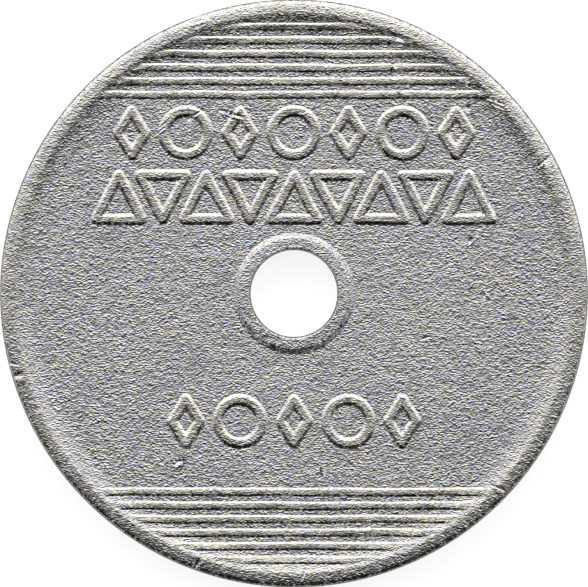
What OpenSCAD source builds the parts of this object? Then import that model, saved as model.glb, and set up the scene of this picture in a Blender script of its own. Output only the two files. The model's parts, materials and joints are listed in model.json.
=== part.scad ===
// Struck transit token: one aluminium disc with a pierced centre hole, a rim and a collar on
// both faces, bands of raised lines, and a frieze of plain geometric marks. The token lies flat:
// its lower face rests on z = 0, its upper face looks along +Z, and the hole's axis is the Z axis.

/* [Blank] */
// Outside diameter of the token
disc_d = 25; // [20:0.5:32]
// Thickness over the two rims
rim_t = 1.8; // [1.4:0.1:2.6]
// Depth of each field below the top of its rim
field_drop = 0.14; // [0.12:0.01:0.3]

/* [Rim] */
// Width of the rounded outer edge of each rim, measured along a radius
edge_w = 0.3; // [0.1:0.05:0.45]
// Height of the rounded outer edge of each rim
edge_h = 0.18; // [0.1:0.02:0.45]
// Width of the flat land on top of each rim
land_w = 0.25; // [0.15:0.05:0.6]
// Width of the slope that runs from the land down to the field
rim_slope_w = 0.45; // [0.3:0.05:0.8]

/* [Centre hole and collar] */
// Diameter of the pierced hole
hole_d = 3.7; // [2.5:0.1:5]
// Width of the small bevel at each lip of the hole
lip_w = 0.08; // [0.04:0.01:0.15]
// Width of the collar's flat top, from the wall of the hole to the shoulder
collar_w = 0.5; // [0.3:0.05:0.9]
// Width of the collar's outer slope
collar_slope_w = 0.25; // [0.15:0.05:0.5]
// Height of the collar above the field
collar_h = 0.12; // [0.06:0.01:0.12]

/* [Line bands] */
// Number of raised lines in each band
line_count = 6; // [3:1:7]
// Distance from one line to the next
line_pitch = 0.577; // [0.45:0.01:0.7]
// Width of a line at its foot
line_w = 0.36; // [0.2:0.02:0.42]
// Width of a line at its crest
crest_w = 0.2; // [0.08:0.02:0.26]
// Height of the lines above the field
line_h = 0.05; // [0.04:0.01:0.12]
// Distance from the outermost line's middle to the foot of the rim
line_edge_gap = 0.17; // [0.1:0.01:0.6]

/* [Frieze marks] */
// Width of a mark's stroke
stroke_w = 0.42; // [0.24:0.02:0.46]
// Height of the marks above the field
mark_h = 0.06; // [0.04:0.01:0.12]
// Clear space between neighbouring marks in a row
mark_gap = 0.36; // [0.2:0.02:0.6]
// Width of a lozenge over its strokes
lozenge_w = 1.6; // [1.2:0.1:2.2]
// Width of a triangle over its strokes
triangle_w = 2.38; // [1.6:0.1:2.8]
// Clear space between a line band and the row of marks next to it
band_gap = 0.3; // [0.2:0.05:0.6]
// Clear space between the two upper rows
row_gap = 0.45; // [0.3:0.05:0.8]
// Clear space between the second row and the collar
collar_gap = 0.35; // [0.2:0.05:0.6]
// Distance from the rim's foot to the ends of the first row
row_1_inset = 0.4; // [0.2:0.1:2]
// Distance from the rim's foot to the ends of the second row
row_2_inset = 1; // [0.2:0.1:3]
// Distance from the rim's foot to the ends of the lower row
row_3_inset = 3.5; // [0.5:0.1:5]

/* [Lower face marks] */
// Height of each large lozenge over its strokes
large_h = 4.4; // [3:0.2:6]
// Width of each large lozenge over its strokes
large_w = 3.2; // [2:0.2:5]
// Diameter of the pellet inside each large lozenge
pellet_d = 0.8; // [0.4:0.1:1.4]

/* [Hidden] */
$fn = 96;

aluminium = [0.66, 0.66, 0.67];
edge_steps = 6;        // flats that round the edge of a rim
corner_steps = 6;      // flats that round a mark's outer corner
sink = 0.1;            // how far a raised feature reaches down into the blank

disc_r = disc_d / 2;
hole_r = hole_d / 2;
land_out_r = disc_r - edge_w;
land_in_r = land_out_r - land_w;
foot_r = land_in_r - rim_slope_w;
shoulder_r = hole_r + collar_w;
collar_foot_r = shoulder_r + collar_slope_w;
field_z = rim_t / 2 - field_drop;      // above the middle plane
collar_z = field_z + collar_h;

// Lines end inside the slope of the rim, where it has risen past their crests.
line_end_r = foot_r + rim_slope_w * (line_h / field_drop + 1) / 2;
first_line_y = foot_r - line_edge_gap - (line_count - 1) * line_pitch;
band_in_y = first_line_y - line_w / 2;

// The two upper rows share the height between the collar and the upper band.
mark_size = (band_in_y - collar_foot_r - band_gap - row_gap - collar_gap) / 2;
row_1_y = band_in_y - band_gap - mark_size / 2;
row_2_y = row_1_y - mark_size - row_gap;
row_3_y = -(band_in_y + collar_foot_r) / 2;
large_x = (foot_r + collar_foot_r) / 2;

// Half the length that a row centred on y has between its insets.
function row_reach(y, inset) = sqrt(pow(foot_r, 2) - pow(abs(y) + mark_size / 2, 2)) - inset;

// Rows that start and end with a lozenge and have a ring between each two lozenges.
pair_pitch = lozenge_w + mark_size + 2 * mark_gap;
function pairs_that_fit(reach) = max(0, floor((2 * reach - lozenge_w) / pair_pitch));

// Triangles point up and down in turn, with parallel strokes mark_gap apart.
triangle_base = triangle_w - stroke_w;
triangle_rise = mark_size - stroke_w;
triangle_lean = atan(triangle_base / 2 / triangle_rise);
triangle_pitch = triangle_base / 2 + (stroke_w + mark_gap) / cos(triangle_lean);
function triangles_that_fit(reach) = floor((2 * reach - triangle_w) / triangle_pitch) + 1;

// A rim's rounded edge, from its land outwards and down, as [radius, height] points.
function edge_arc(z) = [for (i = [0 : edge_steps])
    [land_out_r + edge_w * sin(90 * i / edge_steps), z - edge_h * (1 - cos(90 * i / edge_steps))]];

// Half of the blank's section, above the middle plane, from the hole to the outer edge.
upper_section = concat(
    [[hole_r, 0], [hole_r, collar_z - lip_w], [hole_r + lip_w, collar_z], [shoulder_r, collar_z],
     [collar_foot_r, field_z], [foot_r, field_z], [land_in_r, rim_t / 2]],
    edge_arc(rim_t / 2),
    [[disc_r, 0]]);

// The whole section: the upper half and its mirror image.
blank_section = concat(upper_section,
    [for (i = [len(upper_section) - 2 : -1 : 1]) [upper_section[i][0], -upper_section[i][1]]]);

// Corners of a closed mark, anticlockwise.
function lozenge_corners(w, h) = [[w / 2, 0], [0, h / 2], [-w / 2, 0], [0, -h / 2]];
function triangle_corners(w, h) = [[-w / 2, -h / 2], [w / 2, -h / 2], [0, h / 2]];

function heading(a, b) = atan2(b[1] - a[1], b[0] - a[0]);
function turn(from, to) = (to - from + 540) % 360 - 180;

// Outline of a closed stroke's outer side: an arc of the stroke's half width round each corner.
function outer_side(p) = [for (i = [0 : len(p) - 1])
    let (n = len(p), into = heading(p[(i + n - 1) % n], p[i]), out = heading(p[i], p[(i + 1) % n]))
    for (k = [0 : corner_steps])
        let (a = into - 90 + turn(into, out) * k / corner_steps)
        p[i] + stroke_w / 2 * [cos(a), sin(a)]];

// Outline of a closed stroke's inner side: its corners stay sharp.
function inner_side(p) = [for (i = [0 : len(p) - 1])
    let (n = len(p), into = heading(p[(i + n - 1) % n], p[i]), out = heading(p[i], p[(i + 1) % n]),
         half = turn(into, out) / 2)
    p[i] + stroke_w / 2 / cos(half) * [cos(into + half + 90), sin(into + half + 90)]];

module closed_stroke(corners) {
    translate([0, 0, field_z - sink])
        linear_extrude(height = mark_h + sink)
            difference() {
                polygon(outer_side(corners));
                polygon(inner_side(corners));
            }
}

module lozenge(w, h) {
    closed_stroke(lozenge_corners(w - stroke_w, h - stroke_w));
}

module triangle(flip) {
    rotate([0, 0, flip ? 180 : 0])
        closed_stroke(triangle_corners(triangle_base, triangle_rise));
}

module ring() {
    translate([0, 0, field_z - sink])
        rotate_extrude()
            translate([mark_size / 2 - stroke_w, 0])
                square([stroke_w, mark_h + sink]);
}

module pellet() {
    translate([0, 0, field_z - sink])
        cylinder(d = pellet_d, h = mark_h + sink);
}

// Lozenges and rings in turn, centred on x = 0.
module lozenge_row(y, inset) {
    pairs = pairs_that_fit(row_reach(y, inset));
    start = -pairs * pair_pitch / 2;
    for (i = [0 : pairs])
        translate([start + i * pair_pitch, y, 0]) lozenge(lozenge_w, mark_size);
    if (pairs > 0)
        for (i = [0 : pairs - 1])
            translate([start + (i + 0.5) * pair_pitch, y, 0]) ring();
}

module triangle_row(y, inset) {
    count = triangles_that_fit(row_reach(y, inset));
    for (i = [0 : count - 1])
        translate([(i - (count - 1) / 2) * triangle_pitch, y, 0]) triangle(i % 2 == 1);
}

// One raised line along X, with sloping sides.
module line(y) {
    translate([-disc_r, y, field_z])
        rotate([90, 0, 90])
            linear_extrude(height = disc_d)
                polygon([[-line_w / 2, -sink], [line_w / 2, -sink], [line_w / 2, 0],
                         [crest_w / 2, line_h], [-crest_w / 2, line_h], [-line_w / 2, 0]]);
}

// Both bands of lines, cut off inside the slope of the rim.
module line_bands() {
    intersection() {
        for (side = [-1, 1], i = [0 : line_count - 1])
            line(side * (first_line_y + i * line_pitch));
        cylinder(r = line_end_r, h = rim_t);
    }
}

module upper_relief() {
    line_bands();
    lozenge_row(row_1_y, row_1_inset);
    triangle_row(row_2_y, row_2_inset);
    lozenge_row(row_3_y, row_3_inset);
}

module lower_relief() {
    line_bands();
    for (side = [-1, 1])
        translate([side * large_x, 0, 0]) {
            lozenge(large_w, large_h);
            pellet();
        }
}

module token_disc() {
    color(aluminium)
        translate([0, 0, rim_t / 2]) {
            rotate_extrude() polygon(blank_section);
            upper_relief();
            mirror([0, 0, 1]) lower_relief();
        }
}

token_disc();
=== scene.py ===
# Struck aluminium fare token: one blank, turned by a lathe section, then struck on both faces.
# Sizes are in millimetres until the mesh is finished, when it is scaled to metres.
import json
import math

import bmesh
import bpy
import numpy as np
from mathutils import Matrix, Vector


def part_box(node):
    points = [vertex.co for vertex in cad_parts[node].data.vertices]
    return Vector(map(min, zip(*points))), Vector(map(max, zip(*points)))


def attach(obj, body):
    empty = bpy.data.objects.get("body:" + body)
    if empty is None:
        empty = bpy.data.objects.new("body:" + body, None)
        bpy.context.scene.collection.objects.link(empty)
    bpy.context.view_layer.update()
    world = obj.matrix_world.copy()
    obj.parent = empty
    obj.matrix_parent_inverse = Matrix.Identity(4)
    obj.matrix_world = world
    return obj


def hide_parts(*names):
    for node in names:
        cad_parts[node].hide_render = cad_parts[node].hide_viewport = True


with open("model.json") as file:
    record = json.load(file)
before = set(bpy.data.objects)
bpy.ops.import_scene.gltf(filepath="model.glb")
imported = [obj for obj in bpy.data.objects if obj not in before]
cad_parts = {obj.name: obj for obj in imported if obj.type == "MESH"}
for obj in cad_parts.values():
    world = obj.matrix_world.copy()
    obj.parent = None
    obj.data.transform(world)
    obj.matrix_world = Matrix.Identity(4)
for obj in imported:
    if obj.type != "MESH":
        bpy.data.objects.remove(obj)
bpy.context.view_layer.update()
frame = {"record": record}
mm = 0.001
discLow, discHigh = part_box("token_disc")
boreDims = next(m["dims"] for m in frame["record"]["mounts"] if m["name"] == "centre_hole")
print("frame loaded")

# The blank: its section from the hole to the outer edge.
blank = {
    "radius": (discHigh.x - discLow.x) / 2 / mm,
    "halfThick": (discHigh.z - discLow.z) / 2 / mm,
    "holeRadius": boreDims["r_mm"],
    "spokes": 300,          # steps of the spin round the hole
    "landOut": 12.2,        # the rounded outer edge starts here
    "edgeSlope": 0.07,      # slope of the rim where its rounded edge starts
    "edgeHigh": 0.18,       # how far down the rounded edge reaches
    "edgeSteps": 9,
    "edgePower": 2.3,       # 2 is an ellipse; more keeps the edge flatter for longer
    "lip": 0.08,            # bevel at each end of the hole
    "crest": 11.92,         # highest ring of the rim
    "crestRound": 0.003,    # how softly the slope turns into the land there
    "landFall": 0.017,      # the land falls this much towards the outer edge
    "dishFrom": 10.9,       # the field starts to rise towards the rim here
    "dishHigh": 0.125,
    "fieldDrop": 0.14,      # depth of the field at the hole, below the crest
    "collarTop": 2.35,
    "collarFoot": 2.6,
    "collarHigh": 0.12,     # above the field
    "collarFall": 0.014,    # the collar's top falls this much from the hole outwards
    "fieldRings": 25,       # cuts across the field and across the slope of the rim
    "dishRings": 7,
}

# Zones of a face, as distances from the middle: the dies touch the blank in the first, and the
# lines and marks lie in the second.
struckFrom, struckTo = blank["holeRadius"] + blank["lip"] + 0.005, blank["landOut"] + 0.001
reliefFrom, reliefTo = blank["collarFoot"] - 0.01, blank["crest"] + 0.01
wallTop = 0.3               # points higher than this above the middle plane belong to a face

# Raised lines near the top and bottom edges, the same on both faces.
lines = {
    "count": 6,
    "first": 8.445,         # distance of the innermost line from the middle
    "pitch": 0.577,
    "high": 0.05,
    "halfFoot": 0.185,      # half the width at the field
    "halfCrest": 0.095,     # half the width of the flat crest
    "round": 1.4,           # 1 is a straight wall; more rounds it off towards the crest
    "fadeFrom": 11.45,      # the lines sink into the slope of the rim from here
    "fadeTo": 11.85,
}

# Raised strokes of the plain marks. Rows are placed by their distance above the middle.
marks = {
    "high": 0.06,
    "halfFoot": 0.25,       # half the width of a stroke at the field
    "halfCrest": 0.08,
    "round": 1.7,
    "size": 2.2825,         # height of every mark, over its strokes
    "stroke": 0.42,         # a mark's middle line lies half of this inside its outline
    "lozengeWide": 1.6,
    "pairPitch": 4.6025,    # lozenge to lozenge, with a ring halfway
    "trianglePitch": 1.861,
    "triangleBase": 1.96,
    "upperRow": 6.824,
    "middleRow": 4.091,
    "lowerRow": -5.4325,
    "largeX": 7.05,
    "largeWide": 3.2,
    "largeHigh": 4.4,
    "pellet": 0.4,          # radius
}

# How the struck faces differ from a new die's: uneven strokes, drifted sideways.
wear = {
    "uneven": 0.16,         # share of the height that comes and goes along a stroke
    "unevenSize": 2.6,
    "driftX": 0.016,
    "driftY": 0.014,
    "driftSize": (2.6, 3.2),
}


def smooth(t):
    t = np.clip(t, 0, 1)
    return t * t * (3 - 2 * t)


# Slow waves that make strokes and crests a little uneven, as a worn die leaves them.
def waver(x, y, size, seed):
    draw = np.random.default_rng(seed)
    total = 0
    for turn in draw.uniform(0, 2 * math.pi, 5):
        step = draw.uniform(0.7, 1.6) * 2 * math.pi / size
        along = x * math.cos(turn) + y * math.sin(turn)
        total = total + np.sin(along * step + draw.uniform(0, 6.3))
    return total / 2.2      # mostly between -1 and 1


def segmentDistance(x, y, a, b):
    dx, dy = b[0] - a[0], b[1] - a[1]
    along = np.clip(((x - a[0]) * dx + (y - a[1]) * dy) / (dx ** 2 + dy ** 2), 0, 1)
    return np.hypot(x - a[0] - along * dx, y - a[1] - along * dy)


def closedStroke(corners, x, y):
    pairs = zip(corners, corners[1:] + corners[:1])
    return np.minimum.reduce([segmentDistance(x, y, a, b) for a, b in pairs])


def lozenge(cx, cy, wide, high):
    w, h = (wide - marks["stroke"]) / 2, (high - marks["stroke"]) / 2
    corners = [(cx + w, cy), (cx, cy + h), (cx - w, cy), (cx, cy - h)]
    return lambda x, y: closedStroke(corners, x, y)


def triangle(cx, cy, up):
    w, h = marks["triangleBase"] / 2, (marks["size"] - marks["stroke"]) / 2 * up
    corners = [(cx - w, cy - h), (cx + w, cy - h), (cx, cy + h)]
    return lambda x, y: closedStroke(corners, x, y)


def ring(cx, cy):
    middle = (marks["size"] - marks["stroke"]) / 2
    return lambda x, y: abs(np.hypot(x - cx, y - cy) - middle)


def pellet(cx, cy):
    return lambda x, y: np.maximum(np.hypot(x - cx, y - cy) - marks["pellet"] + marks["halfFoot"], 0)


# Places of a row's marks, centred on the middle of the token.
def spread(count, pitch):
    return [(i - (count - 1) / 2) * pitch for i in range(count)]


def lozengeRow(y, pairs):
    pitch = marks["pairPitch"]
    row = [lozenge(x, y, marks["lozengeWide"], marks["size"]) for x in spread(pairs + 1, pitch)]
    return row + [ring(x, y) for x in spread(pairs, pitch)]


def triangleRow(y, count):
    places = spread(count, marks["trianglePitch"])
    return [triangle(x, y, -1 if i % 2 else 1) for i, x in enumerate(places)]


upperMarks = lozengeRow(marks["upperRow"], 3) + triangleRow(marks["middleRow"], 9)
upperMarks += lozengeRow(marks["lowerRow"], 2)
lowerMarks = []
for at in (-marks["largeX"], marks["largeX"]):
    lowerMarks += [lozenge(at, 0, marks["largeWide"], marks["largeHigh"]), pellet(at, 0)]


def markDistance(shapes, x, y):
    return np.minimum.reduce([shape(x, y) for shape in shapes])


def lineDistance(y):
    nearest = np.clip(np.round((abs(y) - lines["first"]) / lines["pitch"]), 0, lines["count"] - 1)
    return abs(abs(y) - lines["first"] - nearest * lines["pitch"])


# How far the worn die has drifted sideways at each point. It fades out at the collar and the rim.
def drift(x, y, seed):
    r = np.hypot(x, y)
    inside = smooth((r - blank["collarFoot"]) / 0.5) * smooth((blank["crest"] - r) / 0.5)
    dx = wear["driftX"] * inside * waver(x, y, wear["driftSize"][0], seed)
    return dx, wear["driftY"] * inside * waver(x, y, wear["driftSize"][1], seed + 1)


# Share of the full height at a distance from a stroke's middle: round crest, sharp foot.
def wall(distance, form):
    t = np.clip((distance - form["halfCrest"]) / (form["halfFoot"] - form["halfCrest"]), 0, 1)
    return 1 - t ** form["round"]


# Cuts and knocks from use. "wide" is half the width, "long" half the length, "turn" in degrees.
upperScars = [
    {"x": -2.7, "y": 7.65, "long": 0.6, "wide": 0.08, "deep": 0.05, "turn": -18},
    {"x": -5.7, "y": 6.9, "long": 0.3, "wide": 0.05, "deep": 0.025, "turn": 40},
    {"x": -5.6, "y": 7.15, "long": 0.25, "wide": 0.05, "deep": 0.025, "turn": 38},
    {"x": -4.2, "y": 7.6, "long": 0.4, "wide": 0.06, "deep": 0.04, "turn": 30},
    {"x": 7.4, "y": 7.9, "long": 0.16, "wide": 0.12, "deep": 0.05, "turn": 5},
    {"x": 8.5, "y": 8.2, "long": 0.5, "wide": 0.05, "deep": 0.03, "turn": -22},
    {"x": 8.7, "y": 7.95, "long": 0.35, "wide": 0.05, "deep": 0.03, "turn": -25},
    {"x": 7.5, "y": 2.25, "long": 0.14, "wide": 0.08, "deep": 0.045, "turn": 70},
    {"x": 8.1, "y": -0.1, "long": 0.2, "wide": 0.05, "deep": 0.03, "turn": 80},
    {"x": 5.6, "y": -1.9, "long": 0.3, "wide": 0.05, "deep": 0.025, "turn": 15},
    {"x": -4.85, "y": -7.15, "long": 0.22, "wide": 0.09, "deep": 0.05, "turn": 15},
    {"x": -8.7, "y": -1.2, "long": 0.35, "wide": 0.04, "deep": 0.02, "turn": -50},
    {"x": 1.2, "y": -7.6, "long": 0.25, "wide": 0.04, "deep": 0.02, "turn": 35},
    {"x": -11.8, "y": -3.5, "long": 0.32, "wide": 0.15, "deep": 0.07, "turn": 18},
    {"x": -11.95, "y": -3.0, "long": 0.25, "wide": 0.06, "deep": 0.05, "turn": -10},
    {"x": -4.2, "y": -11.6, "long": 0.35, "wide": 0.13, "deep": 0.09, "turn": 60},
    {"x": -4.1, "y": 11.7, "long": 0.5, "wide": 0.14, "deep": 0.08, "turn": 15},
    {"x": 4.5, "y": 10.85, "long": 0.2, "wide": 0.11, "deep": 0.05, "turn": -10},
    {"x": 4.2, "y": 9.7, "long": 0.12, "wide": 0.09, "deep": 0.05, "turn": 0},
    {"x": 8.75, "y": -8.3, "long": 0.5, "wide": 0.06, "deep": 0.035, "turn": -25},
    {"x": 10.6, "y": 5.6, "long": 0.4, "wide": 0.07, "deep": 0.03, "turn": 40},
    {"x": 0.4, "y": -11.95, "long": 0.3, "wide": 0.07, "deep": 0.03, "turn": 75},
]
lowerScars = [
    {"x": 3.4, "y": -4.2, "long": 0.7, "wide": 0.06, "deep": 0.03, "turn": 25},
    {"x": -5.2, "y": 5.1, "long": 0.5, "wide": 0.05, "deep": 0.03, "turn": -40},
    {"x": -1.8, "y": -6.3, "long": 0.16, "wide": 0.12, "deep": 0.05, "turn": 10},
    {"x": 9.2, "y": 3.3, "long": 0.3, "wide": 0.07, "deep": 0.03, "turn": 60},
    {"x": 10.4, "y": -6.1, "long": 0.4, "wide": 0.12, "deep": 0.07, "turn": -35},
    {"x": -11.3, "y": 4.6, "long": 0.35, "wide": 0.1, "deep": 0.06, "turn": 20},
]

# The metal pushed up beside a scar: its place and width in the scar's half widths, its height as
# a share of the scar's depth.
burr = {
    "at": 1.5,
    "halfWide": 0.7,
    "high": 0.35,
}


# Position along and across a scar, in half lengths and half widths.
def scarPlace(scar, x, y):
    turn = math.radians(scar["turn"])
    dx, dy = x - scar["x"], y - scar["y"]
    along = (dx * math.cos(turn) + dy * math.sin(turn)) / scar["long"]
    return along, (dy * math.cos(turn) - dx * math.sin(turn)) / scar["wide"]


# Depth of all the scars at a point. Each is a groove with metal pushed up along its lower side.
def scarDepth(scars, x, y):
    depth = 0
    for scar in scars:
        along, across = scarPlace(scar, x, y)
        ends = np.maximum(1 - along ** 2, 0)
        groove = np.maximum(1 - across ** 2, 0)
        pushed = np.maximum(1 - ((across + burr["at"]) / burr["halfWide"]) ** 2, 0)
        depth = depth + scar["deep"] * ends * (groove - burr["high"] * pushed)
    return depth


def scarDistance(scars, x, y):
    gaps = []
    for scar in scars:
        along, across = scarPlace(scar, x, y)
        past = np.maximum(abs(along) - 1, 0) * scar["long"]
        beside = np.maximum(abs(across) - burr["at"] - burr["halfWide"], 0) * scar["wide"]
        gaps.append(np.hypot(past, beside))
    return np.minimum.reduce(gaps)


# Height of a struck face above the middle plane.
def faceHeight(x, y, face):
    r = np.hypot(x, y)
    drop, rise, crest = blank["fieldDrop"], blank["dishHigh"], blank["crest"]
    dish = np.maximum(r - blank["dishFrom"], 0) / (crest - blank["dishFrom"])
    low = -drop + (drop - rise) * (r / crest) ** 2 + rise * dish ** 2
    land = -blank["landFall"] * (np.maximum(r - crest, 0) / (blank["landOut"] - crest)) ** 1.4
    gap = np.sqrt((low - land) ** 2 + blank["crestRound"] ** 2)
    high = blank["halfThick"] + (low + land - gap) / 2 + blank["crestRound"] / 2
    collar = smooth((blank["collarFoot"] - r) / (blank["collarFoot"] - blank["collarTop"]))
    fall = (r - blank["holeRadius"]) / (blank["collarTop"] - blank["holeRadius"])
    high = high + collar * (blank["collarHigh"] - blank["collarFall"] * fall ** 2)
    dx, dy = drift(x, y, face["seed"])
    uneven = 1 + wear["uneven"] * waver(x, y, wear["unevenSize"], face["seed"] + 3)
    high = high + marks["high"] * wall(markDistance(face["marks"], x + dx, y + dy), marks) * uneven
    high = high + lines["high"] * wall(lineDistance(y + dy), lines) * lineFade(r) * uneven
    return np.minimum(high - scarDepth(face["scars"], x, y), blank["halfThick"])


def lineFade(r):
    return 1 - smooth((r - lines["fadeFrom"]) / (lines["fadeTo"] - lines["fadeFrom"]))


# Where the metal is rubbed smooth, and where painted shade darkens the hollows, as shares from 0 to 1.
finish = {
    "markPolish": 0.75,
    "rimPolish": 0.5,
    "rimFrom": 11.4,
    "strokeEdge": 0.03,     # a stroke is rubbed to just past its foot
    "grimeTo": 11.1,        # the painted shade between the lines ends here, near the rim
    "besideMarks": 0.6,
    "besideAt": 0.05,       # painted shade beside a mark is darkest this far from its foot
    "besideReach": 0.2,
    "fade": 0.4,
}


# How smooth the metal is: the field keeps the die's grain, crests and the rim are rubbed.
def facePolish(x, y, face):
    r = np.hypot(x, y)
    dx, dy = drift(x, y, face["seed"])
    away = markDistance(face["marks"], x + dx, y + dy)
    edge = finish["strokeEdge"]
    markShare = smooth((marks["halfFoot"] + edge - away) / (2 * edge))
    lineShare = smooth((lines["halfFoot"] + edge - lineDistance(y + dy)) / (2 * edge)) * lineFade(r)
    rimShare = finish["rimPolish"] * smooth((r - finish["rimFrom"]) / finish["fade"])
    return np.maximum.reduce([finish["markPolish"] * markShare, lineShare, rimShare])


# Painted shade in the hollows, standing in for occlusion: in the gaps between the lines, and a little
# beside the marks.
def faceHollowShade(x, y, face):
    r = np.hypot(x, y)
    inBand = smooth((abs(y) - lines["first"] + 0.1) / 0.1)
    inBand = inBand * (1 - smooth((r - finish["grimeTo"]) / finish["fade"]))
    away = markDistance(face["marks"], x, y) - marks["halfFoot"]
    near = 1 - smooth(abs(away - finish["besideAt"]) / finish["besideReach"])
    return np.maximum(inBand, finish["besideMarks"] * near) * (1 - facePolish(x, y, face))


def isBetween(item, inner, outer):
    return all(inner < math.hypot(*v.co.xy) < outer for v in item.verts)


# Scores a face along the curve where distance(x, y) equals level, so that edges follow the strokes.
# Points closer than near to the curve are joined as they are.
def score(bm, distance, level, near=0.006):
    edges = [e for e in bm.edges if isBetween(e, reliefFrom, reliefTo)]
    ends = np.array([[*e.verts[0].co.xy, *e.verts[1].co.xy] for e in edges])
    first = distance(ends[:, 0], ends[:, 1]) - level
    second = distance(ends[:, 2], ends[:, 3]) - level
    joined = {e.verts[0] for e, off in zip(edges, first) if abs(off) <= near}
    joined |= {e.verts[1] for e, off in zip(edges, second) if abs(off) <= near}
    crossing = np.flatnonzero((first * second < 0) & (abs(first) > near) & (abs(second) > near))
    ends, first = ends[crossing], first[crossing]
    low, high = np.zeros(len(ends)), np.ones(len(ends))
    for _ in range(10):
        at = (low + high) / 2
        x = ends[:, 0] + at * (ends[:, 2] - ends[:, 0])
        y = ends[:, 1] + at * (ends[:, 3] - ends[:, 1])
        before = (distance(x, y) - level) * first > 0
        low, high = np.where(before, at, low), np.where(before, high, at)
    for i, part in zip(crossing, at):
        joined.add(bmesh.utils.edge_split(edges[i], edges[i].verts[0], part)[1])
    bmesh.ops.connect_verts(bm, verts=list(joined), check_degenerate=True)


# Upper half of the blank: a section from the hole to the outer edge, spun round the hole.
def turnBlank():
    bm = bmesh.new()
    top, field = blank["halfThick"], blank["halfThick"] - blank["fieldDrop"]
    collar = field + blank["collarHigh"]
    wide = blank["radius"] - blank["landOut"]
    slant = blank["edgeSlope"] * wide
    arc = blank["edgeHigh"] - blank["landFall"] - slant
    corner = []
    for i in range(1, blank["edgeSteps"] + 1):
        out = math.sin(math.pi / 2 * i / blank["edgeSteps"])
        down = 1 - max(1 - out ** blank["edgePower"], 0) ** (1 / blank["edgePower"])
        height = top - blank["landFall"] - slant * out - arc * down
        corner.append((blank["landOut"] + wide * out, height))
    hole = blank["holeRadius"]
    points = [(hole, 0), (hole, collar - blank["lip"]), (hole + blank["lip"], collar)]
    points += [(struckFrom + 0.01, collar), (blank["collarTop"], collar), (blank["collarFoot"], field)]
    points += [(blank["dishFrom"], field), (blank["crest"], top), (blank["landOut"], top)]
    points += corner + [(blank["radius"], 0)]
    verts = [bm.verts.new((r, 0, z)) for r, z in points]
    edges = [bm.edges.new(pair) for pair in zip(verts, verts[1:])]
    cuts = [1, 2, 0, 2, 4, blank["fieldRings"], blank["dishRings"], 3] + [0] * len(corner) + [1]
    for edge, count in zip(edges, cuts):
        if count:
            bmesh.ops.subdivide_edges(bm, edges=[edge], cuts=count)
    bmesh.ops.spin(bm, geom=bm.verts[:] + bm.edges[:], cent=(0, 0, 0), axis=(0, 0, 1),
                   angle=2 * math.pi, steps=blank["spokes"], use_merge=True)
    return bm


# Distances from a stroke's middle where its wall gets an edge. The last is just past its foot.
def levelsOf(form):
    wide = form["halfFoot"] - form["halfCrest"]
    return [form["halfCrest"] + t * wide for t in (0, 0.35, 0.7, 0.97)] + [form["halfFoot"] + 0.01]


# Straight cuts along every line, so that its crest, walls and feet have edges of their own.
def cutLines(bm):
    reach = 0.9             # faces whose middles lie closer than this to a line are cut
    offsets = levelsOf(lines)
    offsets += [-offset for offset in offsets]
    for i in range(lines["count"]):
        for side in (-1, 1):
            middle = side * (lines["first"] + i * lines["pitch"])
            near = [f for f in bm.faces if abs(f.calc_center_bounds().y - middle) < reach
                    and isBetween(f, 0, reliefTo)]
            geom = near + list({e for f in near for e in f.edges})
            geom += list({v for f in near for v in f.verts})
            for offset in offsets:
                cut = bmesh.ops.bisect_plane(bm, geom=geom, dist=0.0005, plane_no=(0, 1, 0),
                                             plane_co=(0, middle + offset, 0))
                geom = cut["geom"]


# Halves the longer edges close to the strokes or scars, so that their curves have enough points.
def refine(bm, distance, reach, longest, outer):
    edges = [e for e in bm.edges if e.calc_length() > longest and isBetween(e, reliefFrom, outer)
             and all(v.co.z > wallTop for v in e.verts)]
    middles = np.array([(e.verts[0].co.xy + e.verts[1].co.xy) / 2 for e in edges])
    close = distance(middles[:, 0], middles[:, 1]) < reach
    picked = [e for e, hit in zip(edges, close) if hit]
    bmesh.ops.subdivide_edges(bm, edges=picked, cuts=1, use_grid_fill=True)


# One struck half of the token, its face up. The lower half is turned over afterwards.
def strikeHalf(face):
    def toMark(x, y):
        return markDistance(face["marks"], x, y)

    def toScar(x, y):
        return scarDistance(face["scars"], x, y)

    bm = turnBlank()
    cutLines(bm)
    for reach, longest in ((0.4, 0.24), (0.3, 0.13)):
        refine(bm, toMark, reach, longest, blank["dishFrom"])
    for longest in (0.2, 0.1, 0.06):
        refine(bm, toScar, 0.03, longest, blank["radius"] + 0.01)
    for level in levelsOf(marks):
        score(bm, toMark, level)
    bmesh.ops.triangulate(bm, faces=bm.faces[:])
    top = [v for v in bm.verts if v.co.z > wallTop]
    struck = [v for v in top if struckFrom < math.hypot(*v.co.xy) < struckTo]
    edge = [v for v in top if math.hypot(*v.co.xy) >= struckTo]
    x, y = np.array([v.co.xy for v in struck]).T
    dx, dy = drift(x, y, face["seed"])
    x, y = x - dx, y - dy
    for v, place in zip(struck, zip(x, y, faceHeight(x, y, face))):
        v.co = place
    x, y = np.array([v.co.xy for v in edge]).T
    for v, depth in zip(edge, scarDepth(face["scars"], x, y)):
        v.co.z -= max(depth, 0)
    print("struck a face:", len(bm.verts), "points", len(bm.faces), "triangles")
    return bm


def addHalf(bm, half, flip):
    if flip:
        bmesh.ops.scale(half, vec=(1, 1, -1), verts=half.verts[:])
        bmesh.ops.reverse_faces(half, faces=half.faces[:])
    carrier = bpy.data.meshes.new("carrier")
    half.to_mesh(carrier)
    bm.from_mesh(carrier)
    bpy.data.meshes.remove(carrier)
    half.free()


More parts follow.
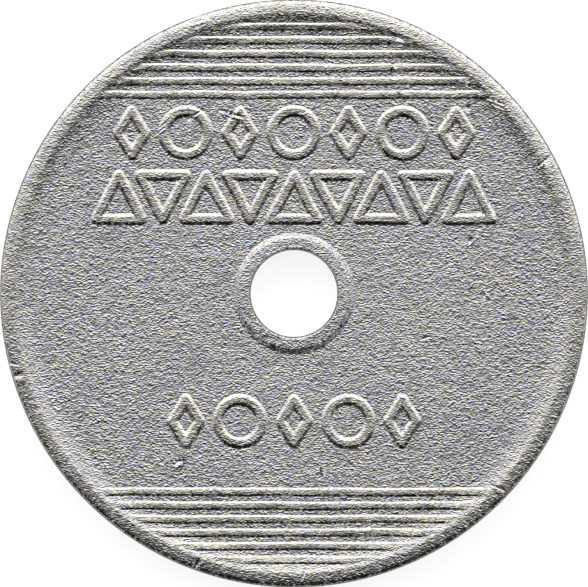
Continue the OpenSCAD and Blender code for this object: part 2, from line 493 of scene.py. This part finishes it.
def makeToken():
    bm = bmesh.new()
    addHalf(bm, strikeHalf(upperFace), False)
    addHalf(bm, strikeHalf(lowerFace), True)
    seam = [v for v in bm.verts if abs(v.co.z) < 0.01]      # where the two halves meet
    bmesh.ops.remove_doubles(bm, verts=seam, dist=0.001)
    bmesh.ops.recalc_face_normals(bm, faces=bm.faces[:])
    for face in bm.faces:
        face.smooth = True
    mesh = bpy.data.meshes.new("token_disc_struck")
    bm.to_mesh(mesh)
    bm.free()
    return mesh


# Exact normals of both faces from the height function, so that thin triangles shade smoothly,
# and the two shares that the material reads: polish, and painted shade in the hollows.
def setNormals(mesh):
    count = len(mesh.vertices)
    place, normal = np.empty(count * 3), np.empty(count * 3)
    mesh.vertices.foreach_get("co", place)
    mesh.vertex_normals.foreach_get("vector", normal)
    place, normal = place.reshape(-1, 3), normal.reshape(-1, 3)
    r = np.hypot(place[:, 0], place[:, 1])
    struck = (abs(place[:, 2]) > wallTop) & (r > struckFrom) & (r < struckTo - 0.02)
    polish, grime = np.full(count, 0.5), np.zeros(count)
    step = 0.004
    for side, face in ((1, upperFace), (-1, lowerFace)):
        pick = struck & (place[:, 2] * side > 0)
        x, y = place[pick, 0], place[pick, 1]
        dx = faceHeight(x + step, y, face) - faceHeight(x - step, y, face)
        dy = faceHeight(x, y + step, face) - faceHeight(x, y - step, face)
        slope = np.stack([-dx, -dy, np.full(len(x), 2 * step * side)], axis=1)
        normal[pick] = slope / np.linalg.norm(slope, axis=1)[:, None]
        polish[pick], grime[pick] = facePolish(x, y, face), faceHollowShade(x, y, face)
    mesh.normals_split_custom_set_from_vertices(normal)
    for name, share in (("polish", polish), ("grime", grime)):
        mesh.attributes.new(name, "FLOAT", "POINT").data.foreach_set("value", share)


upperFace = {"marks": upperMarks, "scars": upperScars, "seed": 1}
lowerFace = {"marks": lowerMarks, "scars": lowerScars, "seed": 7}
tokenMesh = makeToken()
setNormals(tokenMesh)
lift = Vector((0, 0, blank["halfThick"] * mm))
tokenMesh.transform(Matrix.LocRotScale(lift, None, Vector((mm, mm, mm))))
token = bpy.data.objects.new("token_disc_struck", tokenMesh)
bpy.context.scene.collection.objects.link(token)
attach(token, "root")
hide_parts("token_disc")
print("token made:", len(tokenMesh.vertices), "points", len(tokenMesh.polygons), "triangles")


# A number from one node's socket. Sums and products of such numbers add their own Math nodes.
class Value:
    def __init__(self, kit, socket):
        self.kit, self.socket = kit, socket

    def join(self, operation, first, second):
        node = self.kit.node("ShaderNodeMath", {"operation": operation}, {0: first, 1: second})
        return Value(self.kit, node.outputs[0])

    def __add__(self, other):
        return self.join("ADD", self, other)

    def __radd__(self, other):
        return self.join("ADD", other, self)

    def __sub__(self, other):
        return self.join("SUBTRACT", self, other)

    def __rsub__(self, other):
        return self.join("SUBTRACT", other, self)

    def __mul__(self, other):
        return self.join("MULTIPLY", self, other)

    def __rmul__(self, other):
        return self.join("MULTIPLY", other, self)

    def __pow__(self, other):
        return self.join("POWER", self, other)


# Nodes of one material or of the world.
class NodeKit:
    def __init__(self, tree):
        self.tree = tree
        tree.nodes.clear()

    def node(self, kind, settings=None, sockets=None):
        node = self.tree.nodes.new(kind)
        for name, setting in (settings or {}).items():
            setattr(node, name, setting)
        for name, value in (sockets or {}).items():
            if isinstance(value, Value):
                value = value.socket
            if isinstance(value, bpy.types.NodeSocket):
                self.tree.links.new(value, node.inputs[name])
            else:
                node.inputs[name].default_value = value
        return node

    def value(self, kind, settings=None, sockets=None, output=0):
        return Value(self, self.node(kind, settings, sockets).outputs[output])

    def ease(self, value, low, high):
        return self.value("ShaderNodeMapRange", {"interpolation_type": "SMOOTHSTEP"},
                          {"Value": value, "From Min": low, "From Max": high})

    def noise(self, place, size, detail, shift=0.0):
        return self.value("ShaderNodeTexNoise", {"noise_dimensions": "4D"},
                          {"Vector": place, "Scale": size, "Detail": detail, "W": shift})

    def mix(self, factor, first, second):
        sockets = {"Factor": factor, 6: first, 7: second}
        return self.node("ShaderNodeMix", {"data_type": "RGBA"}, sockets).outputs[2]


# The metal. Its patterns are given as counts in a metre.
aluminium = {
    "cool": (0.60, 0.65, 0.84, 1),
    "warm": (0.79, 0.72, 0.52, 1),
    # colour of the stains and specks, also laid on as painted shade in the hollows
    "dirt": (0.36, 0.38, 0.46, 1),
    "roughness": 0.24,
    "grain": 17000,
    "grainStretch": 0.6,    # less than 1 draws the grains out along X
    "grainDeep": 0.000032,  # depth in metres
    "tint": 14000,          # patches of cool and warm metal
    "broad": 1500,          # slow change of height, dirt and roughness
    "lumps": 5000,
    "speck": 26000,         # specks and stains of dirt
    "stain": 420,
}


def paintAluminium():
    material = bpy.data.materials.new("struck aluminium")
    material.use_nodes = True
    kit = NodeKit(material.node_tree)
    place = kit.node("ShaderNodeTexCoord").outputs["Object"]
    drawn = (aluminium["grainStretch"], 1, 1)
    rolled = kit.node("ShaderNodeMapping", {}, {"Vector": place, "Scale": drawn}).outputs[0]
    polish = kit.value("ShaderNodeAttribute", {"attribute_name": "polish"}, output=2)
    grime = kit.value("ShaderNodeAttribute", {"attribute_name": "grime"}, output=2)
    fine = kit.noise(rolled, aluminium["grain"], 0.0)
    broad = kit.noise(place, aluminium["broad"], 3.0, 1.0)
    lumps = kit.noise(place, aluminium["lumps"], 1.0, 2.0)
    tint = kit.noise(rolled, aluminium["tint"], 1.0, 3.0)
    speck = kit.noise(place, aluminium["speck"], 0.0, 5.0)
    stain = kit.noise(place, aluminium["stain"], 2.0, 6.0)
    # fine grain that comes and goes with the lumps, less of both where the metal is rubbed
    height = ((fine - 0.5) * (lumps * 3 - 0.5) + lumps * 0.9) * (1 - 0.5 * polish) + broad * 0.8
    grain = kit.node("ShaderNodeBump", {}, {
        "Height": height, "Distance": aluminium["grainDeep"], "Strength": 1.0,
    })
    metal = kit.mix(tint * 4.8 - 1.9 + 0.2 * polish, aluminium["cool"], aluminium["warm"])
    # darker metal from random stains and specks of dirt, plus painted shade in the gaps between the
    # lines and beside the marks
    dirt = grime * 0.35 + (broad - 0.5) * 1.5 + (speck - 0.5) * 2.2 + (stain - 0.5) * 1.1
    dirt = dirt - 0.3 * polish
    metal = kit.mix(dirt, metal, aluminium["dirt"])
    shader = kit.node("ShaderNodeBsdfPrincipled", {}, {
        "Base Color": metal, "Metallic": 1.0,
        "Roughness": aluminium["roughness"] + (broad - 0.5) * 0.3 - 0.05 * polish,
        "Normal": grain.outputs[0],
    })
    kit.node("ShaderNodeOutputMaterial", {}, {"Surface": shader.outputs[0]})
    print("material made")
    return material


tokenMesh.materials.append(paintAluminium())

studio = {
    "darkAt": -38,          # the ramp starts here, in degrees from straight up towards +Y
    "lightAt": 38,          # and is at its brightest here
    "power": 2.2,
    "bright": 1.7,
    "dark": 0.004,
    "fill": 0.56,           # level of the low light at the sides and along the horizon
    "floorSize": 6,
    "floor": 0.3,           # how pale the board is to the token
    "paper": 0.35,          # the camera sees it nearly white, with a faint shadow
    "paperGlow": 0.87,
    "lens": 800,
    "sensor": 36,
    "frameWide": 0.025,     # width of the picture at the token's top, in metres
}


# A ramp of light across the ceiling, from dark at -Y to bright at +Y, with an even low light
# at the sides and along the horizon. The camera sees plain white behind the token.
def lightWorld():
    world = bpy.data.worlds.new("studio")
    bpy.context.scene.world = world
    world.use_nodes = True
    kit = NodeKit(world.node_tree)
    direction = kit.node("ShaderNodeTexCoord").outputs["Generated"]
    parts = kit.node("ShaderNodeSeparateXYZ", {}, {0: direction})
    x, y, z = [Value(kit, socket) for socket in parts.outputs]
    tilt = kit.value("ShaderNodeMath", {"operation": "ARCTAN2"}, {0: y, 1: z})
    side = kit.value("ShaderNodeMath", {"operation": "ABSOLUTE"}, {0: x})
    rise = kit.ease(tilt, math.radians(studio["darkAt"]), math.radians(studio["lightAt"]))
    ramp = rise ** studio["power"] * studio["bright"] + studio["dark"]
    atSides = kit.ease(z, 0.55, 0.4) * kit.ease(side, 0.45, 0.7)
    nearFloor = kit.ease(z, 0.38, 0.16)
    low = kit.value("ShaderNodeMath", {"operation": "MAXIMUM"}, {0: atSides, 1: nearFloor})
    glow = ramp * (1 - low) + studio["fill"] * low
    light = kit.node("ShaderNodeBackground", {}, {"Color": (1, 1, 1, 1), "Strength": glow})
    white = kit.node("ShaderNodeBackground", {}, {"Color": (1, 1, 1, 1), "Strength": 1.0})
    seen = kit.node("ShaderNodeLightPath").outputs["Is Camera Ray"]
    both = kit.node("ShaderNodeMixShader", {}, {0: seen, 1: light.outputs[0], 2: white.outputs[0]})
    kit.node("ShaderNodeOutputWorld", {}, {"Surface": both.outputs[0]})


def layFloor():
    bm = bmesh.new()
    bmesh.ops.create_grid(bm, x_segments=1, y_segments=1, size=studio["floorSize"] / 2)
    mesh = bpy.data.meshes.new("floor")
    bm.to_mesh(mesh)
    bm.free()
    floor = bpy.data.objects.new("floor", mesh)
    bpy.context.scene.collection.objects.link(floor)
    material = bpy.data.materials.new("pale board")
    material.use_nodes = True
    kit = NodeKit(material.node_tree)
    matte = kit.node("ShaderNodeBsdfDiffuse", {}, {"Color": (*[studio["floor"]] * 3, 1)})
    paper = kit.node("ShaderNodeBsdfPrincipled", {}, {
        "Base Color": (*[studio["paper"]] * 3, 1), "Roughness": 1.0,
        "Specular IOR Level": 0.0, "Emission Strength": studio["paperGlow"],
    })
    seen = kit.node("ShaderNodeLightPath").outputs["Is Camera Ray"]
    board = kit.node("ShaderNodeMixShader", {}, {0: seen, 1: matte.outputs[0], 2: paper.outputs[0]})
    kit.node("ShaderNodeOutputMaterial", {}, {"Surface": board.outputs[0]})
    mesh.materials.append(material)


def setCamera():
    data = bpy.data.cameras.new("camera")
    data.lens = studio["lens"]
    data.sensor_width = studio["sensor"]
    camera = bpy.data.objects.new("camera", data)
    bpy.context.scene.collection.objects.link(camera)
    away = studio["frameWide"] / studio["sensor"] * studio["lens"]
    camera.location = (0, 0, discHigh.z + away)
    data.clip_start, data.clip_end = 0.01, 10
    bpy.context.scene.camera = camera


lightWorld()
layFloor()
setCamera()
bpy.context.scene.view_settings.view_transform = "Standard"
print("light, floor and camera set")
